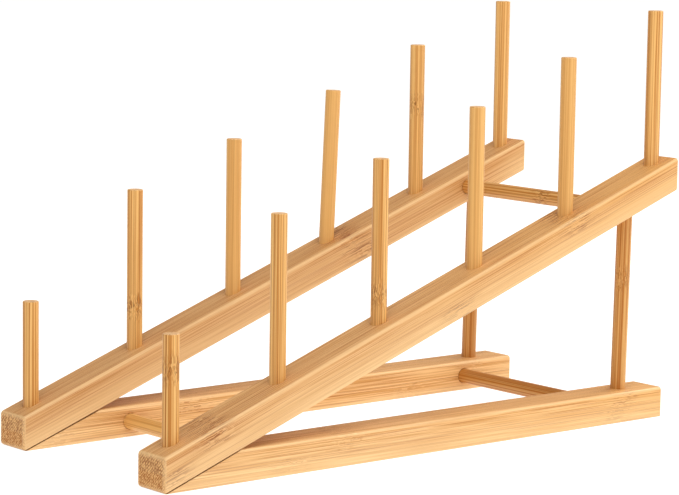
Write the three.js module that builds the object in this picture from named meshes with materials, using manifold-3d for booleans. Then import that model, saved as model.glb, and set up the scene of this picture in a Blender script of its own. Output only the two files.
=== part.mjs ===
// A bamboo dish drying rack: two base rails lie on the worktop, two sloped rails rise from their front tips,
// and two posts hold the rear of the slope up. Round bars tie the left side to the right one, and a row of
// pegs stands on each sloped rail. Plates and lids stand across the rack, in the slots between pairs of pegs.
//
// Millimetres, +Z up. The slope rises towards +X, and left is +Y, seen from the low front end. The exported
// group's origin is on the worktop, in the middle of the rack's length and width. Lengths along the rack are
// worked out from the front end first, and the whole rack is moved to that origin at the end.
import * as THREE from "three";
import { mergeVertices } from "three/addons/utils/BufferGeometryUtils.js";
import Module from "manifold-3d";

const wasm = await Module();
wasm.setup();

// ---------------------------------------------------------------- driving dimensions

// The frame
const baseLength = 325; // base rail, from its feathered front tip to its rear end
const rackWidth = 140; // over the outer faces of the rails
const railWidth = 22;
const railThickness = 16; // two 8 mm plies, measured square to the rail
const slopeAngle = 20; // degrees, sloped rail against base rail
const rearOverhang = 8; // the sloped rail ends this far behind the base rail
const edgeRadius = 2.2; // rounding of a rail's long edges

// Dowel stock, used for the pegs, posts and bars
const dowelDiameter = 8;
const dowelEase = 0.5; // small chamfer at each cut end
const barDiameter = 8;

// Pegs
const pegsPerSide = 6;
const firstPegInset = 11; // from the front end
const lastPegInset = 9.5; // from the rear end of the sloped rail
const pegReach = 80.5; // above the rail, measured at the peg's axis
const firstPegReach = 51.5; // the front peg of each row is shorter
const pegSocketDepth = 11;
const leaningPeg = "peg_left_4"; // its socket is drilled a little out of upright
const pegLean = 3.4; // its head stands this far behind its place in the rail's top

// Rear posts
const postInset = 22; // foot of the post, from the base rail's rear end
const postLean = 2; // the head stands this far behind the foot
const postSocketDepth = 9;

// Cross bars
const frontBarSetback = 19.5; // behind the heel of the front mitre
const rearBarInset = 35; // from the base rail's rear end
const barSocketDepth = 9;

// Countersunk wood screw that closes each front mitre from below
const screwInset = 14; // in front of the heel of the mitre
const screwLength = 19;
const screwDiameter = 3.5;
const screwHeadDiameter = 7;
const screwHeadHeight = 2.4;
const screwPointLength = 5;
const screwSink = 0.4; // the head sits this far inside the rail
const driveWidth = 0.9; // one arm of the cross recess
const driveSpan = 3.8;
const driveDepth = 1.5;

// Clearances
const glueGap = 0.2; // round a dowel in its socket
const seatGap = 0.3; // below a dowel's end in its socket
const mitreGap = 0.3; // between base rail and sloped rail, square to the joint
const screwGap = 0.2; // round a screw

// Facets
const roundSegments = 32;
const edgeSegments = 4; // in each rounded rail edge
const cutterOverrun = 5; // how far a cutting solid runs out into free air

// ---------------------------------------------------------------- sizes that follow

const slope = THREE.MathUtils.degToRad(slopeAngle);
const rise = Math.tan(slope); // height gained per mm of x
const slopedLength = baseLength + rearOverhang; // measured along x
const slopedHeight = railThickness / Math.cos(slope); // sloped rail's thickness, measured upright
const sideOffset = (rackWidth - railWidth) / 2; // centre of a rail from the middle of the rack
const mitreLength = railThickness / rise; // front tip to the heel, where the base rail is full height
const pegPitch = (slopedLength - firstPegInset - lastPegInset) / (pegsPerSide - 1);
const undersideAt = (x) => x * rise; // sloped rail
const topAt = (x) => undersideAt(x) + slopedHeight;
const footX = baseLength - postInset;
const headX = footX + postLean;
const frontBarX = mitreLength + frontBarSetback;
const rearBarX = baseLength - rearBarInset;
const screwX = mitreLength - screwInset;
const sides = { left: 1, right: -1 };

// ---------------------------------------------------------------- materials

const bamboo = new THREE.MeshStandardMaterial({ color: 0xdfae72, roughness: 0.5, metalness: 0 });
const bambooDowel = new THREE.MeshStandardMaterial({ color: 0xd9a362, roughness: 0.48, metalness: 0 });
const zincSteel = new THREE.MeshStandardMaterial({ color: 0xc6c8ca, roughness: 0.35, metalness: 1 });

// ---------------------------------------------------------------- solids

function solidOf(geometry) {
  const bare = geometry.clone();
  bare.deleteAttribute("normal");
  bare.deleteAttribute("uv");
  const merged = mergeVertices(bare, 1e-4);
  return new wasm.Manifold(
    new wasm.Mesh({
      numProp: 3,
      vertProperties: merged.attributes.position.array,
      triVerts: new Uint32Array(merged.index.array),
    }),
  );
}

function geometryOf(solid) {
  const mesh = solid.getMesh();
  const geometry = new THREE.BufferGeometry();
  geometry.setAttribute("position", new THREE.BufferAttribute(mesh.vertProperties, 3));
  geometry.setIndex(new THREE.BufferAttribute(mesh.triVerts, 1));
  const faceted = geometry.toNonIndexed();
  faceted.computeVertexNormals();
  return faceted;
}

// A closed solid of revolution about +Z. The profile is a list of [radius, height] from bottom to top.
function turned(profile) {
  const points = profile.map(([radius, height]) => new THREE.Vector2(radius, height));
  return new THREE.LatheGeometry(points, roundSegments).rotateX(Math.PI / 2);
}

// A plain cutting cylinder from one point to another.
function drill(radius, from, to) {
  const axis = to.clone().sub(from);
  const turn = new THREE.Quaternion().setFromUnitVectors(
    new THREE.Vector3(0, 0, 1),
    axis.clone().normalize(),
  );
  const cutter = turned([[0, 0], [radius, 0], [radius, axis.length()], [0, axis.length()]]);
  return solidOf(cutter.applyQuaternion(turn).translate(from.x, from.y, from.z));
}

// A rail along +X with rounded long edges, centred on y = 0, its underside starting at the origin. `climb` is
// the height it gains per mm of x. Its ends are cut upright, so its section there is taller by `stretch`.
function railSolid(length, climb) {
  const stretch = Math.hypot(1, climb);
  const halfWidth = railWidth / 2;
  const radius = Math.min(edgeRadius, railThickness / 4, railWidth / 4);
  const section = new THREE.Shape();
  section.absarc(halfWidth - radius, radius, radius, -Math.PI / 2, 0);
  section.absarc(halfWidth - radius, railThickness - radius, radius, 0, Math.PI / 2);
  section.absarc(radius - halfWidth, railThickness - radius, radius, Math.PI / 2, Math.PI);
  section.absarc(radius - halfWidth, radius, radius, Math.PI, 1.5 * Math.PI);
  const along = new THREE.ExtrudeGeometry(section, {
    depth: length,
    bevelEnabled: false,
    curveSegments: edgeSegments,
  });
  // Section x becomes Y, section y becomes Z, and the extrusion becomes X with the climb added to Z.
  const lay = new THREE.Matrix4().set(
    0, 0, 1, 0,
    1, 0, 0, 0,
    0, stretch, climb, 0,
    0, 0, 0, 1,
  );
  return solidOf(along.applyMatrix4(lay));
}

// Socket for a cross bar, in the rail's inner face. The rail is centred on y = 0.
function barSocket(side, x, z) {
  const inner = (-side * railWidth) / 2;
  return drill(
    barDiameter / 2 + glueGap,
    new THREE.Vector3(x, inner - side * cutterOverrun, z),
    new THREE.Vector3(x, inner + side * barSocketDepth, z),
  );
}

// The post's axis, as points at the given heights.
const postFootZ = railThickness - postSocketDepth;
const postHeadZ = undersideAt(headX) + postSocketDepth;
const postTilt = Math.atan2(headX - footX, postHeadZ - postFootZ);
const postAt = (z) => new THREE.Vector3(footX + (z - postFootZ) * Math.tan(postTilt), 0, z);

// A peg's way up, from the rail's top: [name, x there, height above the rail, lean from upright].
function pegStance(sideName, i) {
  const name = `peg_${sideName}_${i + 1}`;
  const reach = i === 0 ? firstPegReach : pegReach;
  const tilt = name === leaningPeg ? Math.atan2(pegLean, reach) : 0;
  return [name, firstPegInset + i * pegPitch, reach, tilt];
}

// A point on a peg's axis, measured along it from the rail's top.
function pegPoint(x, tilt, along) {
  return new THREE.Vector3(x + along * Math.sin(tilt), 0, topAt(x) + along * Math.cos(tilt));
}

// Hole for the mitre's screw: countersink, then a straight hole to just past the screw's point.
function screwHole() {
  const shank = screwDiameter / 2 + screwGap;
  const head = screwHeadDiameter / 2 + screwGap;
  const tipZ = screwSink + screwLength + seatGap;
  const coneTop = screwSink + screwHeadHeight;
  const profile = [[0, -cutterOverrun], [head, -cutterOverrun], [head, screwSink]];
  profile.push([shank, coneTop], [shank, tipZ], [0, tipZ]);
  return solidOf(turned(profile).translate(screwX, 0, 0));
}

function baseRail(side) {
  // The space above the joint plane: a rail's breadth and more, sheared to the slope like the sloped rail.
  const above = new THREE.BoxGeometry(baseLength * 2, railWidth * 2, slopedLength);
  above.translate(0, 0, slopedLength / 2 - mitreGap / Math.cos(slope));
  above.applyMatrix4(new THREE.Matrix4().set(1, 0, 0, 0, 0, 1, 0, 0, rise, 0, 1, 0, 0, 0, 0, 1));
  return railSolid(baseLength, 0)
    .subtract(solidOf(above))
    .subtract(screwHole())
    .subtract(barSocket(side, frontBarX, railThickness / 2))
    .subtract(barSocket(side, rearBarX, railThickness / 2))
    .subtract(drill(dowelDiameter / 2 + glueGap, postAt(postFootZ), postAt(railThickness + cutterOverrun)));
}

function slopedRail(side, sideName) {
  const socketRadius = dowelDiameter / 2 + glueGap;
  let rail = railSolid(slopedLength, rise)
    .subtract(screwHole())
    .subtract(barSocket(side, rearBarX, undersideAt(rearBarX) + slopedHeight / 2))
    .subtract(drill(socketRadius, postAt(undersideAt(headX) - cutterOverrun), postAt(postHeadZ)));
  for (let i = 0; i < pegsPerSide; i++) {
    const [, x, , tilt] = pegStance(sideName, i);
    const floor = pegPoint(x, tilt, -pegSocketDepth);
    rail = rail.subtract(drill(socketRadius, floor, pegPoint(x, tilt, cutterOverrun)));
  }
  return rail;
}

// A length of dowel along +Z from the origin, with its two end edges eased.
function dowel(diameter, length) {
  const radius = diameter / 2;
  const ease = Math.min(dowelEase, radius / 2);
  return turned([
    [0, 0],
    [radius - ease, 0],
    [radius, ease],
    [radius, length - ease],
    [radius - ease, length],
    [0, length],
  ]);
}

function screw() {
  const shank = screwDiameter / 2;
  const body = turned([
    [0, 0],
    [screwHeadDiameter / 2, 0],
    [shank, screwHeadHeight],
    [shank, screwLength - screwPointLength],
    [0, screwLength],
  ]);
  let made = solidOf(body);
  for (const [wide, deep] of [[driveSpan, driveWidth], [driveWidth, driveSpan]]) {
    made = made.subtract(solidOf(new THREE.BoxGeometry(wide, deep, driveDepth * 2)));
  }
  return geometryOf(made);
}

// ---------------------------------------------------------------- assembly

function place(parent, name, geometry, material, x = 0, y = 0, z = 0) {
  const mesh = new THREE.Mesh(geometry, material);
  mesh.name = name;
  mesh.position.set(x, y, z);
  parent.add(mesh);
  return mesh;
}

const rack = new THREE.Group();
const fromFrontEnd = new THREE.Group(); // x = 0 at the front end
fromFrontEnd.position.x = -slopedLength / 2;
rack.add(fromFrontEnd);

for (const [sideName, side] of Object.entries(sides)) {
  const flank = new THREE.Group();
  flank.position.y = side * sideOffset;
  fromFrontEnd.add(flank);
  place(flank, `base_rail_${sideName}`, geometryOf(baseRail(side)), bamboo);
  place(flank, `sloped_rail_${sideName}`, geometryOf(slopedRail(side, sideName)), bamboo);

  const postStart = postFootZ + seatGap;
  const postLength = (postHeadZ - seatGap - postStart) / Math.cos(postTilt);
  const postShape = dowel(dowelDiameter, postLength);
  const postFoot = postAt(postStart);
  const post = place(flank, `rear_post_${sideName}`, postShape, bambooDowel, postFoot.x, 0, postFoot.z);
  post.rotation.y = postTilt;

  for (let i = 0; i < pegsPerSide; i++) {
    const [name, x, reach, tilt] = pegStance(sideName, i);
    const hidden = pegSocketDepth - seatGap;
    const shape = dowel(dowelDiameter, reach / Math.cos(tilt) + hidden);
    const foot = pegPoint(x, tilt, -hidden);
    const peg = place(flank, name, shape, bambooDowel, foot.x, 0, foot.z);
    peg.rotation.y = tilt;
  }

  place(flank, `mitre_screw_${sideName}`, screw(), zincSteel, screwX, 0, screwSink);
}

const barSpan = rackWidth - 2 * railWidth; // between the rails' inner faces
const barLength = barSpan + 2 * (barSocketDepth - seatGap);
const bars = {
  front_cross_bar: [frontBarX, railThickness / 2],
  rear_lower_cross_bar: [rearBarX, railThickness / 2],
  rear_upper_cross_bar: [rearBarX, undersideAt(rearBarX) + slopedHeight / 2],
};
for (const [name, [x, z]] of Object.entries(bars)) {
  const bar = place(fromFrontEnd, name, dowel(barDiameter, barLength), bambooDowel, x, barLength / 2, z);
  bar.rotation.x = Math.PI / 2;
}

export default rack;
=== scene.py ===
# %% [markdown]
# # A bamboo dish drying rack
#
# The rack is made of four rails, twelve pegs, two rear posts, three cross bars and two wood screws. Its sizes
# come from a imported CAD model, which this file loads first and never changes. Every piece is then built
# again as a finer mesh in the same place: the rails get rounded edges and drilled sockets, the dowels get
# eased ends, and everything gets the grain that bamboo really has.
#
# Blender works in metres. The rack's long side lies along X and rises towards +X, Y runs across it, and Z is
# up from the worktop. `cad_box` is kept, and the camera and the soft boxes are placed round its centre.

# %% Load the CAD frame
import math
import random

import bmesh
import bpy
from mathutils import Matrix, Vector


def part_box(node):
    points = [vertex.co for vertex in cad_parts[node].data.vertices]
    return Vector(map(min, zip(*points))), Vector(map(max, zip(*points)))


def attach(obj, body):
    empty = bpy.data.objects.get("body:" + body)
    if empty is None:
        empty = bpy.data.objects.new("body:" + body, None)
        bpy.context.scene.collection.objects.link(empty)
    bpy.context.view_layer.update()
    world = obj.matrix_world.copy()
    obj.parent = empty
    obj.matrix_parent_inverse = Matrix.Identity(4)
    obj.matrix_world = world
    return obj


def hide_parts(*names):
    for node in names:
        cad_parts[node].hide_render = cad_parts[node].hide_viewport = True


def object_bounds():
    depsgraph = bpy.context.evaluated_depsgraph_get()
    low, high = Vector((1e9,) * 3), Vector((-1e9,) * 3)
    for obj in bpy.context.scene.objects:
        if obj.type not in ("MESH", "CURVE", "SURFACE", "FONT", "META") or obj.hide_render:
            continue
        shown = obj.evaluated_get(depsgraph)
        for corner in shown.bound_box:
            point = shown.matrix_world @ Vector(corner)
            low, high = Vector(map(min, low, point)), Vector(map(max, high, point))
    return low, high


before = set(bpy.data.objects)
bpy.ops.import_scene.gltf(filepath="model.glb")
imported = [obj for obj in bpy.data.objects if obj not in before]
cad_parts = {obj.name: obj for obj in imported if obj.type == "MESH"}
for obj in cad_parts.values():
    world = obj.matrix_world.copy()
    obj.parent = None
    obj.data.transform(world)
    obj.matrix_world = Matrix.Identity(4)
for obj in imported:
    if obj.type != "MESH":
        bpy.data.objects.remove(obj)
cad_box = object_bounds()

MM = 0.001
cad_size = (cad_box[1] - cad_box[0]) / MM
print("CAD nodes:", len(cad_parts), "overall size in mm:", [round(side, 1) for side in cad_size])

# %% [markdown]
# ## Reading the sizes off the frame
#
# A box round each CAD node says everything about it, because the pieces are simple. The base rail's box
# gives the rail's width and thickness. The sloped rail's box is longer and taller, and only one slope angle
# fits a rail of that thickness into it: climb x cos(a) = run x sin(a) + thickness, which turns into the
# arc cosine below. Typing the sizes again would be quicker, but this way the file stays right when the CAD
# model changes.

# %% Rails, slope and dowels
SIDES = ("left", "right")
PEGS_PER_SIDE = 6
base_low, base_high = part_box("base_rail_left")
sloped_low, sloped_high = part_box("sloped_rail_left")
rail_width = base_high.y - base_low.y
rail_thickness = base_high.z - base_low.z
run = sloped_high.x - sloped_low.x
climb = sloped_high.z - sloped_low.z
slope = math.acos(rail_thickness / math.hypot(run, climb)) - math.atan2(run, climb)
mitre_length = rail_thickness / math.sin(slope)
peg_low, peg_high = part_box("peg_left_2")
dowel_diameter = peg_high.x - peg_low.x
print("slope in degrees:", round(math.degrees(slope), 2), "dowel:", round(dowel_diameter / MM, 1))
print("rail section in mm:", round(rail_width / MM, 1), "x", round(rail_thickness / MM, 1))

# %% [markdown]
# ## Camera
#
# A product picture of a low, long object is taken with a long lens from a little above, so that upright
# pegs stay nearly parallel. The camera could be placed by three coordinates, but an angle round the rack, an
# angle above the table and a distance are easier to adjust. `back` points from the rack to the camera, and
# the small roll is how the camera was held.

# %% Camera from two angles, a distance and a lens
CAMERA_AZIMUTH = math.radians(-39.48)
CAMERA_ELEVATION = math.radians(7.57)
CAMERA_ROLL = math.radians(0.87)
CAMERA_DISTANCE = 1.3946
CAMERA_LENS = 144.7
AIM_RIGHT = -0.00584
AIM_UP = -0.01307

centre = (cad_box[0] + cad_box[1]) / 2
back = Vector((
    math.sin(CAMERA_AZIMUTH) * math.cos(CAMERA_ELEVATION),
    -math.cos(CAMERA_AZIMUTH) * math.cos(CAMERA_ELEVATION),
    math.sin(CAMERA_ELEVATION),
))
turn = back.to_track_quat("Z", "Y").to_matrix() @ Matrix.Rotation(CAMERA_ROLL, 3, "Z")
aim = centre + turn.col[0] * AIM_RIGHT + turn.col[1] * AIM_UP
camera_data = bpy.data.cameras.new("camera")
camera_data.lens = CAMERA_LENS
camera_data.sensor_width = 36
camera = bpy.data.objects.new("camera", camera_data)
camera.matrix_world = Matrix.Translation(aim + back * CAMERA_DISTANCE) @ turn.to_4x4()
bpy.context.scene.collection.objects.link(camera)
bpy.context.scene.camera = camera
print("camera at", [round(value, 3) for value in camera.location])

# %% [markdown]
# ## Colours and nodes
#
# Colours are written as on a colour chart, in sRGB hex. Blender mixes light in linear values, so one
# function converts them. One more adds any shader node: its settings are keywords and its inputs a
# dictionary, in which a socket makes a link and anything else becomes the input's own value. `tint` is the
# one thing that the wood finishes do again and again: lay a colour over another where a pattern says so.

# %% Helpers for every material
def linear(hex_colour):
    channels = [int(hex_colour[i:i + 2], 16) / 255 for i in (1, 3, 5)]
    return [c / 12.92 if c <= 0.04045 else ((c + 0.055) / 1.055) ** 2.4 for c in channels] + [1.0]


def add(tree, kind, inputs=None, out=0, **settings):
    node = tree.nodes.new("ShaderNode" + kind)
    for name, value in settings.items():
        setattr(node, name, value)
    for socket, value in (inputs or {}).items():
        if isinstance(value, bpy.types.NodeSocket):
            tree.links.new(value, node.inputs[socket])
        else:
            node.inputs[socket].default_value = value
    return node if out is None or not node.outputs else node.outputs[out]


def new_material(name):
    material = bpy.data.materials.new(name)
    material.use_nodes = True
    material.node_tree.nodes.clear()
    return material, material.node_tree


def tint(tree, pattern, share, under, hex_colour):
    """Lays a colour over `under` where a 0 to 1 pattern says, by `share` at most."""
    amount = add(tree, "Math", {0: pattern, 1: share}, operation="MULTIPLY")
    return add(tree, "Mix", {0: amount, 6: under, 7: linear(hex_colour)}, out=2, data_type="RGBA")


print("honey in linear light:", [round(value, 3) for value in linear("#EFC083")[:3]])

# %% [markdown]
# ## The sweep it stands on
#
# The rack stands on a sweep of white background paper that is lit until no shadow is left. Flooding the
# scene with lamps would also wash out the wood. So the paper shines a little by itself, as translucent
# paper over a light table does, and its own colour is kept down. It is matt: a high roughness and next to
# no reflection.

# %% Floor
FLOOR_SIZE = 12.0
floor_paper, tree = new_material("white_background_paper")
# Paper tooth is about 0.1 mm and can't be seen from here, so it is drawn ten times coarser and very faint.
tooth = add(tree, "TexNoise", {"Scale": 900.0, "Detail": 2.0})
paper_shader = add(tree, "BsdfPrincipled", {
    "Base Color": linear("#A9A7A4"),
    "Roughness": 0.9,
    "Specular IOR Level": 0.2,
    "Emission Color": linear("#FFFFFF"),
    "Emission Strength": 0.86,
    "Normal": add(tree, "Bump", {"Strength": 0.05, "Distance": 0.0001, "Height": tooth}),
})
add(tree, "OutputMaterial", {"Surface": paper_shader})

sheet_of_paper = bmesh.new()
bmesh.ops.create_grid(sheet_of_paper, x_segments=8, y_segments=8, size=FLOOR_SIZE / 2)
floor_mesh = bpy.data.meshes.new("floor")
sheet_of_paper.to_mesh(floor_mesh)
sheet_of_paper.free()
floor_mesh.materials.append(floor_paper)
floor = bpy.data.objects.new("floor", floor_mesh)
bpy.context.scene.collection.objects.link(floor)
print("floor:", FLOOR_SIZE, "m square")

# %% [markdown]
# ## Studio walls
#
# White walls fill the shadows. If they were equally bright all round, the far wall would mirror in the
# varnish of every top face at this low angle and turn it milky. So the walls are brighter in front of the
# rack and dimmer behind it, which a dot product of the view direction with "in front" gives as one number.

# %% Walls
IN_FRONT = (0.3, -0.95, 0.0)
FRONT_STRENGTH = 0.56
BACK_STRENGTH = 0.3
walls = bpy.data.worlds.new("white_studio_walls")
walls.use_nodes = True
tree = walls.node_tree
tree.nodes.clear()
direction = add(tree, "TexCoord", out="Generated")
frontness = add(tree, "VectorMath", {0: direction, 1: IN_FRONT}, out="Value", operation="DOT_PRODUCT")
strength = add(tree, "MapRange", {0: frontness, 1: -1.0, 2: 1.0, 3: BACK_STRENGTH, 4: FRONT_STRENGTH})
wall_light = add(tree, "Background", {"Color": linear("#FFFFFF"), "Strength": strength})
add(tree, "OutputWorld", {"Surface": wall_light})
bpy.context.scene.world = walls
bpy.context.scene.view_settings.view_transform = "Standard"
print("walls from", BACK_STRENGTH, "to", FRONT_STRENGTH)

# %% [markdown]
# ## Soft boxes
#
# Three large soft boxes give the rack its shape. The key, to the right of the camera, makes the bright band
# on the right of every dowel and the pale near faces. One overhead lights the top faces. One far to the
# right and high reaches the level tops of the base rails, which the slope shades. A box is placed by its
# direction and distance from the rack and always faces it.

# %% Three soft boxes
def soft_box(name, towards, distance, width, height, watts):
    lamp = bpy.data.lights.new(name, "AREA")
    lamp.shape = "RECTANGLE"
    lamp.size = width
    lamp.size_y = height
    lamp.energy = watts
    box = bpy.data.objects.new(name, lamp)
    away = Vector(towards).normalized()
    box.matrix_world = (
        Matrix.Translation(centre + away * distance) @ away.to_track_quat("Z", "Y").to_matrix().to_4x4()
    )
    bpy.context.scene.collection.objects.link(box)
    return box


boxes = [
    soft_box("key_soft_box", (0.42, -0.90, 0.25), 1.5, 1.1, 0.9, 4.4),
    soft_box("overhead_soft_box", (-0.25, -0.35, 0.9), 1.5, 1.2, 1.2, 15.0),
    soft_box("side_soft_box", (0.95, 0.0, 0.45), 1.5, 1.0, 0.8, 13.0),
]
print("soft boxes in watts:", {box.name: box.data.energy for box in boxes})

# %% [markdown]
# ## What bamboo looks like inside
#
# Bamboo has no rings. Its strength is in bundles of hard, dark fibres that run the length of the stem
# through pale soft tissue. Cut along the stem the bundles show as streaks, cut across it as dots. A picture
# of grain wrapped round a piece would break at its edges. So the grain is a solid pattern: noise that is
# stretched along the piece, and whatever surface cuts through it shows the right mark.
#
# Each piece carries what its pattern needs as mesh attributes. `along_grain` says where a point lies in the
# piece itself, in mm, with X along the stem, so that a sloping rail has sloping grain. `grain_seed` moves
# the pattern, so that no two pieces are alike. A rail is two plies glued on each other, each with its own.

# %% Where a point lies in the stem
PLY = rail_thickness / 2 / MM


def number_of(tree, name):
    return add(tree, "Attribute", attribute_name=name, out="Fac")


def place_in_stem(tree):
    place = add(tree, "Attribute", attribute_name="along_grain", out="Vector")
    x, y, z = add(tree, "SeparateXYZ", {0: place}, out=None).outputs
    upper = add(tree, "Math", {0: z, 1: PLY}, operation="GREATER_THAN")
    seed = add(tree, "Math", {0: upper, 1: 7.7, 2: number_of(tree, "grain_seed")}, operation="MULTIPLY_ADD")
    return place, x, z, upper, seed


print("one ply is", round(PLY, 1), "mm thick")

# %% [markdown]
# ## Stem nodes
#
# Every 20 cm or so the living stem has a node, a cross wall. There the fibres swirl, and the planed face
# shows a cluster of short dark dashes. A node is a place along X, repeated at a pitch: wrapping the distance
# to the nearest one into plus or minus half a pitch makes a single formula serve the whole piece. A little
# noise bends the line of the node, because it never runs square across.

# %% How near a point is to a node
NODE_BEND = 8.0


def nearness_to_node(tree, place, x, upper, reach):
    first = add(tree, "Mix", {0: upper, 2: number_of(tree, "lower_node"), 3: number_of(tree, "upper_node")})
    pitch = add(tree, "Mix", {0: upper, 2: number_of(tree, "lower_pitch"), 3: number_of(tree, "upper_pitch")})
    wobble = add(tree, "TexNoise", {"Vector": place, "Scale": 0.22, "Detail": 2.0})
    wobble = add(tree, "Math", {0: wobble, 1: 0.5}, operation="SUBTRACT")
    off = add(tree, "Math", {0: x, 1: first}, operation="SUBTRACT")
    off = add(tree, "Math", {0: wobble, 1: NODE_BEND, 2: off}, operation="MULTIPLY_ADD")
    half = add(tree, "Math", {0: pitch, 1: 0.5}, operation="MULTIPLY")
    minus_half = add(tree, "Math", {0: pitch, 1: -0.5}, operation="MULTIPLY")
    off = add(tree, "Math", {0: off, 1: half, 2: minus_half}, operation="WRAP")
    off = add(tree, "Math", {0: off}, operation="ABSOLUTE")
    return add(tree, "MapRange", {0: off, 1: 0.0, 2: reach, 3: 1.0, 4: 0.0}, interpolation_type="SMOOTHSTEP")

# %% [markdown]
# ## The grain
#
# Four patterns come out of the same stretched noise. `streaks` are the fibre bundles. `bands` are slow
# changes of tone over several bundles. `lines` are the few bundles that stand out dark. `dashes` are the
# short marks that appear only near a node, where `swirl` also pushes the fibres sideways. Fibre bundles are
# 0.3 to 0.6 mm across, which is finer than the render can draw, so the callers give a width that shows.

# %% Four patterns from one noise
DASH_LENGTH = 14.0
DASH_WIDTH = 0.42


def stretched_noise(tree, place, length, width, detail, roughness=0.5):
    per_mm = (1 / length, 1 / width, 1 / width)
    squeezed = add(tree, "VectorMath", {0: place, 1: per_mm}, operation="MULTIPLY")
    return add(tree, "TexNoise", {"Vector": squeezed, "Scale": 1.0, "Detail": detail, "Roughness": roughness})


def grain(tree, streak_width, streak_length, node_reach, swirl_mm):
    place, x, z, upper, seed = place_in_stem(tree)
    at_node = nearness_to_node(tree, place, x, upper, node_reach)
    swirl = add(tree, "TexNoise", {"Vector": place, "Scale": 0.3, "Detail": 1.0}, out="Color")
    swirl = add(tree, "VectorMath", {0: swirl, 1: (0.5, 0.5, 0.5)}, operation="SUBTRACT")
    swirl = add(tree, "VectorMath", {0: swirl, "Scale": at_node}, operation="SCALE")
    sideways = (0.0, swirl_mm, swirl_mm)
    bent = add(tree, "VectorMath", {0: swirl, 1: sideways, 2: place}, operation="MULTIPLY_ADD")
    shift = add(tree, "CombineXYZ", {0: seed, 1: seed, 2: seed})
    moved = add(tree, "VectorMath", {0: shift, 1: (37.0, 11.0, 23.0), 2: bent}, operation="MULTIPLY_ADD")
    lines = stretched_noise(tree, moved, streak_length, streak_width / 2.4, 0.0)
    dashes = stretched_noise(tree, moved, DASH_LENGTH, DASH_WIDTH, 0.0)
    dashes = add(tree, "MapRange", {0: dashes, 1: 0.55, 2: 0.62, 3: 0.0, 4: 1.0})
    return {
        "streaks": stretched_noise(tree, moved, streak_length, streak_width, 3.0, 0.6),
        "bands": stretched_noise(tree, moved, streak_length * 3, streak_width * 4, 1.0),
        "lines": add(tree, "MapRange", {0: lines, 1: 0.60, 2: 0.70, 3: 0.0, 4: 1.0}),
        "dashes": add(tree, "Math", {0: dashes, 1: at_node}, operation="MULTIPLY"),
        "moved": moved,
        "upper": upper,
        "x": x,
        "z": z,
    }

# %% [markdown]
# ## Rail finish, along the grain
#
# A rail is laminated bamboo: two 8 mm plies glued one on the other, planed, rounded over, sanded and sprayed
# with a clear satin varnish. The eye sees pale honey wood with fine streaks, a hair-thin glue line half way
# up, lighter edges, which are partly where the sanding went through the surface and partly a painted
# highlight, and a soft broad sheen instead of a gloss.
#
# The steps follow that order: streaks and bands, the tone of this rail's own stock, dark fibres, nodes, then
# what the maker added, which is glue and sanding. Three of these layers also paint light: the stock tone of
# the left sloped rail is partly painted shade, the dark hairline along the mitre is partly painted shade in
# the joint's crease, and the lighter edges are partly a painted highlight. Varnish is 1.5 in IOR, and satin
# is a roughness near 0.5.

# %% Glue in the joint and between the plies, with painted shade in the mitre's crease
def glue_line(tree, z):
    off = add(tree, "Math", {0: z, 1: PLY}, operation="SUBTRACT")
    off = add(tree, "Math", {0: off}, operation="ABSOLUTE")
    return add(tree, "MapRange", {0: off, 1: 0.1, 2: 0.3, 3: 1.0, 4: 0.0})


def glue_and_painted_crease_shade(tree, x, z):
    """A dark hairline along the mitre: partly glue, partly painted shade in the joint's crease. `mitre_x` and
    `mitre_z` give the joint plane's normal.
    """
    off = add(tree, "Math", {0: x, 1: number_of(tree, "mitre_x")}, operation="MULTIPLY")
    off = add(tree, "Math", {0: z, 1: number_of(tree, "mitre_z"), 2: off}, operation="MULTIPLY_ADD")
    hairline = add(tree, "MapRange", {0: off, 1: 0.0, 2: 0.25, 3: 1.0, 4: 0.0})
    in_joint = add(tree, "Math", {0: x, 1: mitre_length / MM}, operation="LESS_THAN")
    return add(tree, "Math", {0: hairline, 1: in_joint}, operation="MULTIPLY")
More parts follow.
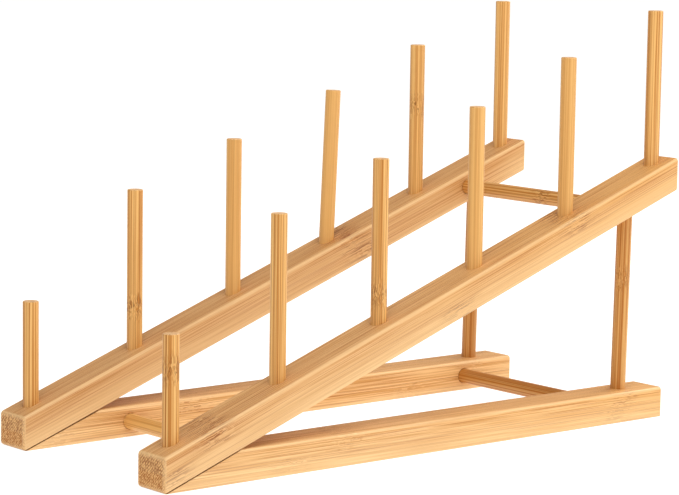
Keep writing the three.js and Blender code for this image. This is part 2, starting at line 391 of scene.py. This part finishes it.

# %% [markdown]
# ## Building up the rail's colour
#
# The real rail gets its colour in layers too, so the material lays them in the order in which they came:
# first the wood, then the glue, then the sandpaper. One big colour ramp could mix them all, but separate
# layers can be changed one at a time. The glue layer and the sandpaper layer also paint light: the mitre's
# hairline is partly painted shade in the crease, and the lighter edges are partly a painted highlight.
# Varnish follows the pores, so the bump and the roughness both come from the same streaks, and the bump is
# under a tenth of a millimetre high.

# %% Laminated bamboo, planed, sanded and varnished
def laminated_bamboo_side():
    material, tree = new_material("laminated_bamboo_satin_varnish")
    g = grain(tree, streak_width=0.6, streak_length=60.0, node_reach=18.0, swirl_mm=0.7)
    streak = add(tree, "MapRange", {0: g["streaks"], 1: 0.4, 2: 0.6, 3: 0.0, 4: 1.0})
    tone = add(tree, "Mix", {0: streak, 6: linear("#F0C287"), 7: linear("#C98F4C")}, out=2, data_type="RGBA")
    band = add(tree, "MapRange", {0: g["bands"], 1: 0.35, 2: 0.65, 3: 0.0, 4: 1.0})
    tone = tint(tree, band, 0.4, tone, "#DAA468")
    # Darkens by the rail's stock tone; on the left sloped rail part of this darkening is painted shade.
    tone = tint(tree, number_of(tree, "darker_stock_and_painted_shade"), 1.0, tone, "#B98652")
    golden_share = number_of(tree, "golden_end")
    golden_end = add(tree, "MapRange", {0: g["x"], 1: 150.0, 2: 320.0, 3: 0.0, 4: golden_share})
    tone = tint(tree, golden_end, 1.0, tone, "#E6A64E")
    tone = tint(tree, g["lines"], 0.75, tone, "#A55C1C")
    knots = add(tree, "Math", {0: g["dashes"], 1: number_of(tree, "knot_strength")}, operation="MULTIPLY")
    tone = tint(tree, knots, 1.0, tone, "#8A4A16")
    tone = tint(tree, glue_line(tree, g["z"]), 0.5, tone, "#A05A1C")
    # Lightens the rounded edges: partly sanding wear, partly a painted highlight along the edges.
    tone = tint(tree, number_of(tree, "sanded_edge_and_highlight"), 0.5, tone, "#F4CF98")
    # A dark hairline along the mitre: partly glue, partly painted shade in the joint's crease.
    tone = tint(tree, glue_and_painted_crease_shade(tree, g["x"], g["z"]), 0.5, tone, "#6A3208")
    rough = add(tree, "MapRange", {0: g["streaks"], 1: 0.3, 2: 0.7, 3: 0.42, 4: 0.55})
    shader = add(tree, "BsdfPrincipled", {
        "Base Color": tone,
        "Roughness": rough,
        "IOR": 1.5,
        "Specular IOR Level": 0.3,
        "Normal": add(tree, "Bump", {"Strength": 0.3, "Distance": 0.00008, "Height": g["streaks"]}),
    })
    add(tree, "OutputMaterial", {"Surface": shader})
    return material


rail_side = laminated_bamboo_side()
print(rail_side.name, "nodes:", len(rail_side.node_tree.nodes))

# %% [markdown]
# ## Rail finish, across the grain
#
# On a sawn and sanded end the fibre bundles are cut across, and the end shows a net of pale and dark dots.
# Sawn ends drink more varnish, so they are darker and more golden than the sides. Bundles really lie about
# 0.6 mm apart; they are drawn 1.0 mm apart in the lower ply and 1.2 mm in the upper one, so that they show.
# The stem was split on the slant, so the rows of dots run aslant too.
# A Voronoi pattern with X taken out of it is the same all the way along the stem, as real bundles are.

# %% Laminated bamboo, sawn end
ROW_ANGLE = math.radians(40)
LOWER_DOT_PITCH = 1.0
UPPER_DOT_PITCH = 1.2


def cut_bundles(tree, moved, per_mm, randomness, low, high):
    cells = add(tree, "VectorMath", {0: moved, "Scale": per_mm}, operation="SCALE")
    cells = add(tree, "VectorMath", {0: cells, 1: (0.0, 1.0, 1.0)}, operation="MULTIPLY")
    cells = add(tree, "VectorRotate", {"Vector": cells, "Angle": ROW_ANGLE}, rotation_type="X_AXIS")
    layout = {"Vector": cells, "Scale": 1.0, "Randomness": randomness}
    dots = add(tree, "TexVoronoi", layout, feature="SMOOTH_F1")
    return add(tree, "MapRange", {0: dots, 1: low, 2: high, 3: 1.0, 4: 0.0})


def laminated_bamboo_end():
    material, tree = new_material("laminated_bamboo_end_grain")
    g = grain(tree, streak_width=0.6, streak_length=60.0, node_reach=18.0, swirl_mm=0.7)
    per_mm = add(tree, "MapRange", {0: g["upper"], 3: 1 / LOWER_DOT_PITCH, 4: 1 / UPPER_DOT_PITCH})
    dots = cut_bundles(tree, g["moved"], per_mm, 0.35, 0.2, 0.48)
    lower_net, upper_net = linear("#A8611A"), linear("#A06430")
    net = add(tree, "Mix", {0: g["upper"], 6: lower_net, 7: upper_net}, out=2, data_type="RGBA")
    tone = tint(tree, dots, 1.0, net, "#EEBC76")
    # Lightens the rounded edges of the end: partly sanding wear, partly a painted highlight.
    tone = tint(tree, number_of(tree, "sanded_edge_and_highlight"), 0.5, tone, "#EFC58E")
    shader = add(tree, "BsdfPrincipled", {
        "Base Color": tone,
        "Roughness": 0.55,
        "IOR": 1.5,
        "Specular IOR Level": 0.3,
        "Normal": add(tree, "Bump", {"Strength": 0.3, "Distance": 0.0001, "Height": dots}),
    })
    add(tree, "OutputMaterial", {"Surface": shader})
    return material


rail_end = laminated_bamboo_end()
print(rail_end.name, "nodes:", len(rail_end.node_tree.nodes))

# %% [markdown]
# ## Dowel finish
#
# The dowels are bamboo strips turned round by drawing them through a cutter, then sanded and dipped in the
# same satin varnish. Turning cuts through the stem's hard outer wall, so a dowel is more golden than a rail
# and its streaks stand out more, running dead straight from end to end. At a node they waver round a cluster
# of dark specks. Some dowels come from darker stock, which `darker_stock_and_painted_shade` says from 0 to 1, and some from
# the stem's evener inside, which `even_stock` says.

# %% Bamboo dowel, along the grain
def bamboo_dowel_side():
    material, tree = new_material("turned_bamboo_dowel_satin_varnish")
    g = grain(tree, streak_width=0.75, streak_length=200.0, node_reach=10.0, swirl_mm=2.0)
    streak = add(tree, "MapRange", {0: g["streaks"], 1: 0.4, 2: 0.6, 3: 0.0, 4: 1.0})
    tone = add(tree, "Mix", {0: streak, 6: linear("#EDBA70"), 7: linear("#BC7A32")}, out=2, data_type="RGBA")
    tone = tint(tree, g["lines"], 0.6, tone, "#8E5418")
    tone = tint(tree, number_of(tree, "even_stock"), 1.0, tone, "#DDA860")
    tone = tint(tree, g["dashes"], 0.75, tone, "#7E4716")
    tone = tint(tree, number_of(tree, "darker_stock_and_painted_shade"), 1.0, tone, "#A05804")
    rough = add(tree, "MapRange", {0: g["streaks"], 1: 0.3, 2: 0.7, 3: 0.36, 4: 0.5})
    shader = add(tree, "BsdfPrincipled", {
        "Base Color": tone,
        "Roughness": rough,
        "IOR": 1.5,
        "Specular IOR Level": 0.3,
        "Normal": add(tree, "Bump", {"Strength": 0.35, "Distance": 0.00008, "Height": g["streaks"]}),
    })
    add(tree, "OutputMaterial", {"Surface": shader})
    return material


dowel_side = bamboo_dowel_side()
print(dowel_side.name, "nodes:", len(dowel_side.node_tree.nodes))

# %% [markdown]
# ## The sawn end of a dowel
#
# A dowel's end was cut, eased on a sander and dipped, so it is paler than a rail's end and its bundles stand
# as brown dots in light wood, the other way round. The same dots serve, less regular, because a dowel comes
# from one strip and not from two pressed plies.

# %% Bamboo dowel, sawn end
DOWEL_DOTS_PER_MM = 1.2


def bamboo_dowel_end():
    material, tree = new_material("bamboo_dowel_end_grain")
    g = grain(tree, streak_width=0.75, streak_length=200.0, node_reach=10.0, swirl_mm=2.0)
    dots = cut_bundles(tree, g["moved"], DOWEL_DOTS_PER_MM, 0.8, 0.15, 0.45)
    tone = tint(tree, dots, 0.8, linear("#E3B47C"), "#A87038")
    shader = add(tree, "BsdfPrincipled", {"Base Color": tone, "Roughness": 0.5, "IOR": 1.5})
    add(tree, "OutputMaterial", {"Surface": shader})
    return material


dowel_end = bamboo_dowel_end()
print(dowel_end.name, "nodes:", len(dowel_end.node_tree.nodes))

# %% [markdown]
# ## Screw finish
#
# The screws are steel wire, headed and rolled, then plated with bright zinc. Plating leaves a fine crystal
# spangle that breaks up the shine: metal, fairly smooth, a little uneven. The spangle is about 0.2 mm on a
# real screw and is drawn at 0.5 mm.

# %% Zinc-plated steel
def zinc_plated_steel():
    material, tree = new_material("bright_zinc_on_steel_wire")
    place = add(tree, "TexCoord", out="Object")
    spangle = add(tree, "TexNoise", {"Vector": place, "Scale": 2000.0, "Detail": 3.0})
    rough = add(tree, "MapRange", {0: spangle, 1: 0.3, 2: 0.7, 3: 0.25, 4: 0.42})
    tone = add(tree, "Mix", {0: spangle, 6: linear("#C9CCCF"), 7: linear("#B3B4B0")}, out=2, data_type="RGBA")
    shader = add(tree, "BsdfPrincipled", {"Base Color": tone, "Metallic": 1.0, "Roughness": rough})
    add(tree, "OutputMaterial", {"Surface": shader})
    return material


bright_zinc = zinc_plated_steel()
print(bright_zinc.name, "nodes:", len(bright_zinc.node_tree.nodes))

# %% [markdown]
# ## Skinning rings
#
# Rails, dowels and screws are all the same kind of shape: a closed outline that is carried along an axis and
# changes a little on the way. Blender's own bevel could round a box instead, but it can't make one corner
# crisper than the next or cut an end to a slant. So one function skins a list of rings into a closed solid,
# and each piece only says what its rings are. They run along the piece's own X, as the grain does.

# %% Skin a list of rings into a solid
def skinned(rings):
    shape = bmesh.new()
    rows = [[shape.verts.new(point) for point in ring] for ring in rings]
    count = len(rows[0])
    for row, following in zip(rows, rows[1:]):
        for i in range(count):
            j = (i + 1) % count
            shape.faces.new((row[i], row[j], following[j], following[i]))
    shape.faces.new(list(reversed(rows[0])))
    shape.faces.new(rows[-1])
    bmesh.ops.recalc_face_normals(shape, faces=shape.faces)
    return shape


def as_object(name, shape, where=None):
    mesh = bpy.data.meshes.new(name)
    shape.to_mesh(mesh)
    shape.free()
    made = bpy.data.objects.new(name, mesh)
    if where is not None:
        made.matrix_world = where
    bpy.context.scene.collection.objects.link(made)
    return made

# %% [markdown]
# ## Drilling
#
# The dowels sit in round sockets that are drilled before the rack is glued up. A boolean modifier takes
# drill-shaped cutters out of a rail, with the exact solver, because the cutters' ends lie close to other
# faces. The result is stored back in the mesh at once, so that no modifier or cutter is left in the file.

# %% Cut one shape out of a piece
def cut_away(piece, cutter_shape):
    cutter = as_object("cutter", cutter_shape)
    cut = piece.modifiers.new("cut", "BOOLEAN")
    cut.operation = "DIFFERENCE"
    cut.solver = "EXACT"
    cut.object = cutter
    bpy.context.view_layer.update()
    finished = bpy.data.meshes.new_from_object(piece.evaluated_get(bpy.context.evaluated_depsgraph_get()))
    piece.modifiers.clear()
    uncut = piece.data
    piece.data = finished
    bpy.data.meshes.remove(uncut)
    bpy.data.objects.remove(cutter)
    finished.name = piece.name


DRILL_SIDES = 48


def drill_bits(holes):
    """Cutters for round holes, each given as (start, end, start radius, end radius)."""
    bits = bmesh.new()
    for start, end, start_radius, end_radius in holes:
        axis = end - start
        middle = Matrix.Translation((start + end) / 2)
        bmesh.ops.create_cone(
            bits, cap_ends=True, segments=DRILL_SIDES, radius1=start_radius, radius2=end_radius,
            depth=axis.length, matrix=middle @ axis.to_track_quat("Z", "Y").to_matrix().to_4x4(),
        )
    return bits

# %% [markdown]
# ## Giving a piece its finish
#
# A finished piece has smooth faces with crisp cut edges, its side and end materials, its grain numbers, and
# its place in the CAD frame. Its grain place is written down while the mesh still lies along its own X, and
# only then is the mesh turned to where it belongs, so that the object itself needs no rotation and its
# bounding box fits tightly.

# %% Shade, number and hand over one piece
SMOOTH_ANGLE = math.radians(32)
END_FACE = 0.62


def paint_sides_and_ends(mesh, side_material, end_material):
    mesh.materials.clear()
    mesh.materials.append(side_material)
    mesh.materials.append(end_material)
    low = min(v.co.x for v in mesh.vertices)
    high = max(v.co.x for v in mesh.vertices)
    for face in mesh.polygons:
        near_an_end = min(face.center.x - low, high - face.center.x) < rail_thickness / 2
        face.material_index = 1 if near_an_end and abs(face.normal.x) > END_FACE else 0


def hold_numbers(mesh, name, values):
    held = mesh.attributes.new(name, "FLOAT", "POINT")
    held.data.foreach_set("value", values)


def set_in_place(piece, node, numbers):
    mesh = piece.data
    for name, value in numbers.items():
        hold_numbers(mesh, name, [value] * len(mesh.vertices))
    along = mesh.attributes.new("along_grain", "FLOAT_VECTOR", "POINT")
    along.data.foreach_set("vector", [c / MM for v in mesh.vertices for c in v.co])
    mesh.transform(piece.matrix_world)
    piece.matrix_world = Matrix.Identity(4)
    mesh.shade_smooth()
    mesh.set_sharp_from_angle(angle=SMOOTH_ANGLE)
    even = piece.modifiers.new("even_shading", "WEIGHTED_NORMAL")
    even.keep_sharp = True
    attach(piece, "root")
    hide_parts(node)

# %% [markdown]
# ## The shape of a rail
#
# A rail is a plank with its long edges rounded over on a router, except the one that was left crisp beside
# the joint, and its end edges taken off with sandpaper. The section is four arcs. At each end the section
# shrinks along a quarter circle, which rounds the end's edges, and a last small ring frames the flat end.
# `lean` shears the rings so that the sloped rail's ends come out upright once it is tilted.

# %% Rail outline and rail
ROUND_OVER = 1.8 * MM
CRISP = 0.6 * MM
END_FRAME = 2.4 * MM
SMALLEST_RADIUS = 0.1 * MM
ARC_STEPS = 6
END_STEPS = 5


def rail_outline(x, inset):
    low, high = inset, rail_thickness - inset
    corners = [(1, low, -90, ROUND_OVER), (1, high, 0, ROUND_OVER),
               (-1, high, 90, ROUND_OVER), (-1, low, 180, CRISP)]
    points = []
    for side, level, first_angle, rounding in corners:
        radius = max(rounding - inset, SMALLEST_RADIUS)
        centre_y = side * (rail_width / 2 - inset - radius)
        centre_z = level + radius if level == low else level - radius
        for step in range(ARC_STEPS + 1):
            angle = math.radians(first_angle + 90 * step / ARC_STEPS)
            points.append((x, centre_y + radius * math.cos(angle), centre_z + radius * math.sin(angle)))
    return points


def rail(length, end_round, lean=0.0):
    quarter = [math.radians(90 * step / END_STEPS) for step in range(END_STEPS + 1)]
    stations = [(end_round * (1 - math.cos(a)), end_round * (1 - math.sin(a))) for a in quarter]
    outlines = [(0.0, END_FRAME)] + stations
    outlines += [(length - x, inset) for x, inset in reversed(outlines)]
    rings = [rail_outline(x, inset) for x, inset in outlines]
    return skinned([[(x + z * lean, y, z) for x, y, z in ring] for ring in rings])

# %% [markdown]
# ## Where sanding shows, with a painted edge highlight
#
# Sandpaper bites most on edges, so they end up a shade lighter than the faces. The same lightening also
# stands in for the bright line that the rounded edges catch from the lamps, so it is partly a painted
# highlight. How far a point is round an edge can be read from where it lies: a mark is wanted only where
# two of the three directions are close to their limit at once. The number is stored per vertex, and the rail
# finish lightens its colour with it.

# %% A number for the sanded edges and their painted highlight
def round_the_edge(point, low, high, end_round, lean):
    """0 on a rail's flat faces, up to 1 in the middle of a rounded edge."""
    x = point.x - point.z * lean
    across = (abs(point.y) - rail_width / 2 + ROUND_OVER) / ROUND_OVER
    upright = (abs(point.z - rail_thickness / 2) - rail_thickness / 2 + ROUND_OVER) / ROUND_OVER
    endways = max(low + end_round - x, x - high + end_round) / end_round
    a, b, c = (min(max(value, 0.0), 1.0) for value in (across, upright, endways))
    return min(2 * (a * b + b * c + c * a), 1.0)


def mark_sanded_and_highlight_edges(mesh, length, end_round, lean=0.0):
    amounts = [round_the_edge(v.co, 0.0, length, end_round, lean) for v in mesh.vertices]
    hold_numbers(mesh, "sanded_edge_and_highlight", amounts)
    print(mesh.name, "vertices on sanded edges:", sum(1 for amount in amounts if amount > 0.5))

# %% [markdown]
# ## Sockets and screw holes
#
# A hole is drilled for every dowel on the dowel's own axis, which the dowel's CAD box gives. One peg leans a
# little, so its axis runs from one end of its box to the other. A peg fits its socket tightly. The bars
# were fitted with more play, and a dark ring shows round them. The screw goes up through a countersink.

# %% Dowel axes and holes
PEG_PLAY = 0.06 * MM
BAR_PLAY = 0.22 * MM
SOCKET_FLOOR = 0.3 * MM
SCREW_PLAY = 0.2 * MM
SCREW_HEAD_RADIUS = 3.5 * MM
SCREW_HEAD_HEIGHT = 2.4 * MM
SCREW_RADIUS = 1.75 * MM
BASE_BARS = ["front_cross_bar", "rear_lower_cross_bar"]
BARS = BASE_BARS + ["rear_upper_cross_bar"]


def dowel_axis(node):
    """Middle points of a dowel's two ends."""
    low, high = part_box(node)
    middle = (low + high) / 2
    radius = dowel_diameter / 2
    if high.y - low.y > high.z - low.z:
        return Vector((middle.x, low.y, middle.z)), Vector((middle.x, high.y, middle.z))
    return Vector((low.x + radius, middle.y, low.z)), Vector((high.x - radius, middle.y, high.z))


def socket_for(node):
    start, end = dowel_axis(node)
    beyond = (end - start).normalized() * SOCKET_FLOOR
    radius = dowel_diameter / 2 + (BAR_PLAY if node in BARS else PEG_PLAY)
    return start - beyond, end + beyond, radius, radius


def screw_hole(side):
    """One stepped drill for the whole hole: a straight mouth, the countersink, then the shank's bore."""
    low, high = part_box(f"mitre_screw_{side}")
    middle = (low + high) / 2
    head, shank = SCREW_HEAD_RADIUS + SCREW_PLAY, SCREW_RADIUS + SCREW_PLAY
    steps = [(low.z - 2 * MM, head), (low.z, head), (low.z + SCREW_HEAD_HEIGHT, shank),
             (high.z + SOCKET_FLOOR, shank)]
    turns = [2 * math.pi * i / DRILL_SIDES for i in range(DRILL_SIDES)]
    return skinned([
        [(middle.x + radius * math.cos(a), middle.y + radius * math.sin(a), z) for a in turns]
        for z, radius in steps
    ])


print("front bar axis in mm:", [[round(c / MM, 1) for c in point] for point in dowel_axis(BARS[0])])

# %% [markdown]
# ## Grain numbers of the rails
#
# Where the nodes fall decides how a rail looks, so they are listed one by one, for the lower and the upper
# ply:
# the first node's place along the rail, and the distance to the next. The sloped rails were cut from a
# darker board than the base rails, and their nodes stand out more.
# The left sloped rail is tinted darker still than the right one, and that extra darkness is painted shade:
# the shade that the right rail and the pegs cast on it.

# %% Nodes, tone and joint of each rail
GOLDEN_END = {"left": 0.1, "right": 0.35}
RAIL_NODES = {
    "sloped_rail_right": (7.5, 186.5, 36.0, 244.0),
    "sloped_rail_left": (232.0, 270.0, 226.0, 260.0),
    "base_rail_right": (73.0, 218.0, 107.0, 190.0),
    "base_rail_left": (249.0, 230.0, 104.0, 190.0),
}


def rail_numbers(name, seed, darker, golden, knots, joint_normal):
    lower_node, lower_pitch, upper_node, upper_pitch = RAIL_NODES[name]
    return {
        "grain_seed": seed,
        "lower_node": lower_node,
        "lower_pitch": lower_pitch,
        "upper_node": upper_node,
        "upper_pitch": upper_pitch,
        "darker_stock_and_painted_shade": darker,
        "golden_end": golden,
        "knot_strength": knots,
        "mitre_x": joint_normal[0],
        "mitre_z": joint_normal[1],
    }

# %% [markdown]
# ## Base rails
#
# A base rail lies on the worktop. Its front is planed away to a feather edge under the slope, and the sloped
# rail is glued and screwed on there. The finished rail is sliced along the joint plane, as a saw would do it.
# The joints aren't perfect: each opens a little towards the heel, the left one more, which leaves the dark
# line that the eye finds at once.

# %% Two base rails
BASE_END_ROUND = 0.5 * MM
JOINT_GAP = 0.08 * MM
BASE_KNOTS = {"left": 0.25, "right": 0.4}
JOINT_OPENS = {"left": math.radians(0.5), "right": math.radians(0.15)}


def plane_the_feather_edge(shape, side):
    tilt = slope - JOINT_OPENS[side]
    upwards = Vector((-math.sin(tilt), 0, math.cos(tilt)))
    everything = list(shape.verts) + list(shape.edges) + list(shape.faces)
    start = Vector((0, 0, -JOINT_GAP))
    cut = bmesh.ops.bisect_plane(shape, geom=everything, plane_co=start, plane_no=upwards, clear_outer=True)
    rim = [item for item in cut["geom_cut"] if isinstance(item, bmesh.types.BMEdge)]
    bmesh.ops.holes_fill(shape, edges=rim)
    bmesh.ops.recalc_face_normals(shape, faces=shape.faces)


for number, side in enumerate(SIDES):
    name = f"base_rail_{side}"
    low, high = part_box(name)
    shape = rail(high.x - low.x, BASE_END_ROUND)
    plane_the_feather_edge(shape, side)
    base = as_object("laminated_" + name, shape, Matrix.Translation((low.x, (low.y + high.y) / 2, low.z)))
    holes = [socket_for(node) for node in BASE_BARS + [f"rear_post_{side}"]]
    cut_away(base, drill_bits(holes))
    cut_away(base, screw_hole(side))
    paint_sides_and_ends(base.data, rail_side, rail_end)
    mark_sanded_and_highlight_edges(base.data, high.x - low.x, BASE_END_ROUND)
    joint_normal = (math.sin(slope), -math.cos(slope))
    numbers = rail_numbers(name, 3.1 + number, 0.0, GOLDEN_END[side], BASE_KNOTS[side], joint_normal)
    set_in_place(base, name, numbers)

# %% [markdown]
# ## Sloped rails
#
# A sloped rail carries the pegs. It is the same plank, tilted, with its ends cut upright, so it is made
# level and sheared first and tilted last. Its ends were sanded rounder than the base rail's, which can be
# seen against a pale background.

# %% Two sloped rails
SLOPED_END_ROUND = 1.3 * MM
# How much darker each sloped rail is tinted; the left one's extra over the right one is painted shade.
SLOPED_DARKER_AND_PAINTED_SHADE = {"left": 0.46, "right": 0.3}

for number, side in enumerate(SIDES):
    name = f"sloped_rail_{side}"
    low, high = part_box(name)
    length = (high.x - low.x) / math.cos(slope)
    where = Matrix.Translation((low.x, (low.y + high.y) / 2, low.z)) @ Matrix.Rotation(-slope, 4, "Y")
    sloped = as_object("laminated_" + name, rail(length, SLOPED_END_ROUND, math.tan(slope)), where)
    pegs = [f"peg_{side}_{i + 1}" for i in range(PEGS_PER_SIDE)]
    holes = [socket_for(node) for node in pegs + [f"rear_post_{side}", BARS[2]]]
    cut_away(sloped, drill_bits(holes))
    cut_away(sloped, screw_hole(side))
    paint_sides_and_ends(sloped.data, rail_side, rail_end)
    mark_sanded_and_highlight_edges(sloped.data, length, SLOPED_END_ROUND, math.tan(slope))
    numbers = rail_numbers(name, 27.7 + number, SLOPED_DARKER_AND_PAINTED_SHADE[side], GOLDEN_END[side], 1.0, (0.0, 1.0))
    set_in_place(sloped, name, numbers)

# %% [markdown]
# ## Dowels
#
# Pegs, posts and bars are cut from one dowel stock and their ends are eased on a sander, a quarter round of
# under half a millimetre. A cylinder with a bevel would do, but the same skinned rings keep their grain
# lined up with the rest. Each dowel is spun by chance before it is glued in, as nobody lines them up, and
# the chance is seeded so that every run gives the same rack. A few have a node that can be seen.

# %% The shape of a dowel
DOWEL_SIDES = 40
EASE = 0.45 * MM
EASE_STEPS = 3
BODY_STEPS = 12


def dowel(length):
    radius = dowel_diameter / 2
    quarter = [math.radians(90 * step / EASE_STEPS) for step in range(EASE_STEPS + 1)]
    eased = [(EASE * (1 - math.cos(a)), radius - EASE * (1 - math.sin(a))) for a in quarter]
    body = [(EASE + (length - 2 * EASE) * step / BODY_STEPS, radius) for step in range(1, BODY_STEPS)]
    profile = eased + body + [(length - x, r) for x, r in reversed(eased)]
    turns = [2 * math.pi * i / DOWEL_SIDES for i in range(DOWEL_SIDES)]
    return skinned([[(x, r * math.cos(a), r * math.sin(a)) for a in turns] for x, r in profile])

# %% [markdown]
# ## Setting the dowels in their sockets
#
# Each dowel is made lying along X and is then turned to the axis that its CAD box gave, which makes pegs,
# posts and bars one loop. Three tables say what sets single dowels apart: where a stem node falls, and how
# dark or how even their wood is. A dowel that isn't in a table gets the ordinary value.

# %% Twelve pegs, two posts and three bars
NO_NODE = -60.0
ONE_NODE_ONLY = 400.0
NODE_ALONG_DOWEL = {
    "peg_right_1": 46.0,
    "peg_right_3": 24.5,
    "peg_left_2": 31.5,
    "peg_left_5": 57.7,
    "rear_upper_cross_bar": 43.1,
    "rear_post_right": 67.5,
}
DARKER_STOCK = {
    "rear_lower_cross_bar": 0.5,
    "rear_upper_cross_bar": 0.15,
    "rear_post_left": 0.4,
    "rear_post_right": 0.3,
}
EVEN_STOCK = {
    "peg_left_3": 0.55,
    "peg_left_4": 0.75,
    "peg_left_5": 0.4,
    "peg_left_6": 0.3,
    "peg_right_4": 0.6,
    "peg_right_5": 0.6,
    "front_cross_bar": 0.4,
}
chance = random.Random(20)
uprights = [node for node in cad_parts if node.startswith(("peg_", "rear_post_"))]
dowel_nodes = sorted(uprights + BARS)

for name in dowel_nodes:
    start, end = dowel_axis(name)
    axis = end - start
    spin = Matrix.Rotation(chance.uniform(0, 2 * math.pi), 4, "X")
    where = Matrix.Translation(start) @ axis.to_track_quat("X", "Z").to_matrix().to_4x4() @ spin
    piece = as_object("bamboo_" + name, dowel(axis.length), where)
    paint_sides_and_ends(piece.data, dowel_side, dowel_end)
    numbers = {
        "grain_seed": chance.uniform(0, 50),
        "lower_node": NODE_ALONG_DOWEL.get(name, NO_NODE),
        "lower_pitch": ONE_NODE_ONLY,
        "darker_stock_and_painted_shade": DARKER_STOCK.get(name, 0.0),
        "even_stock": EVEN_STOCK.get(name, 0.0),
    }
    set_in_place(piece, name, numbers)
print("dowels:", len(dowel_nodes))

# %% [markdown]
# ## Screws
#
# One countersunk wood screw goes up through each mitre from below, and only its head shows, in the underside.
# It is skinned like the rest, from rings that are close enough to carry a thread: round each ring the radius
# rises to the crest where the angle and the height agree with the thread's pitch. The cross in its head is
# pressed in with a punch that narrows as it goes deeper.

# %% The shape of a screw
SCREW_SIDES = 24
THREAD_PITCH = 1.6 * MM
THREAD_CORE = 1.2 * MM
RINGS_PER_TURN = 8
POINT_LENGTH = 5 * MM
CROSS_SPAN = 3.8 * MM
CROSS_WIDTH = 0.9 * MM
CROSS_DEPTH = 1.5 * MM


def thread_radius(x, angle, length):
    phase = (angle / (2 * math.pi) - x / THREAD_PITCH) % 1.0
    crest = max(0.0, 1.0 - 4 * abs(phase - 0.5))
    taper = min(1.0, (length - x) / POINT_LENGTH + 0.03)
    return (THREAD_CORE + (SCREW_RADIUS - THREAD_CORE) * crest) * taper


def screw(length):
    turns = [2 * math.pi * i / SCREW_SIDES for i in range(SCREW_SIDES)]
    head = [(0.0, SCREW_HEAD_RADIUS - 0.15 * MM), (0.15 * MM, SCREW_HEAD_RADIUS),
            (0.3 * MM, SCREW_HEAD_RADIUS - 0.05 * MM), (SCREW_HEAD_HEIGHT, THREAD_CORE)]
    rings = [[(x, r * math.cos(a), r * math.sin(a)) for a in turns] for x, r in head]
    step = THREAD_PITCH / RINGS_PER_TURN
    count = int((length - SCREW_HEAD_HEIGHT) / step)
    for number in range(1, count + 1):
        x = SCREW_HEAD_HEIGHT + number * step
        radii = [thread_radius(x, a, length) for a in turns]
        rings.append([(x, r * math.cos(a), r * math.sin(a)) for a, r in zip(turns, radii)])
    return skinned(rings)


def cross_arm(where, quarter_turn):
    """One arm of the punch: a bar that narrows towards its deep end."""
    arm = bmesh.new()
    size = Matrix.Diagonal((2 * CROSS_DEPTH, CROSS_SPAN, CROSS_WIDTH, 1.0))
    bmesh.ops.create_cube(arm, size=1.0, matrix=where @ Matrix.Rotation(quarter_turn, 4, "X") @ size)
    middle = where.translation
    for vertex in arm.verts:
        if vertex.co.z > middle.z:
            vertex.co.xy = middle.xy + (vertex.co.xy - middle.xy) * 0.6
    return arm

# %% [markdown]
# ## Driving the screws
#
# A screw is made lying along X with its head at zero, and then stood on its head by a quarter turn, because
# it goes in from below. The cross is punched last, when the screw stands where it belongs, one arm at a time.

# %% Two screws
for side in SIDES:
    node = f"mitre_screw_{side}"
    low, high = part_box(node)
    foot = Vector(((low.x + high.x) / 2, (low.y + high.y) / 2, low.z))
    where = Matrix.Translation(foot) @ Matrix.Rotation(-math.pi / 2, 4, "Y")
    piece = as_object("wood_screw_" + side, screw(high.z - low.z), where)
    for quarter_turn in (0.0, math.pi / 2):
        cut_away(piece, cross_arm(where, quarter_turn))
    piece.data.materials.clear()
    piece.data.materials.append(bright_zinc)
    set_in_place(piece, node, {})
    print(piece.name, "faces:", len(piece.data.polygons))
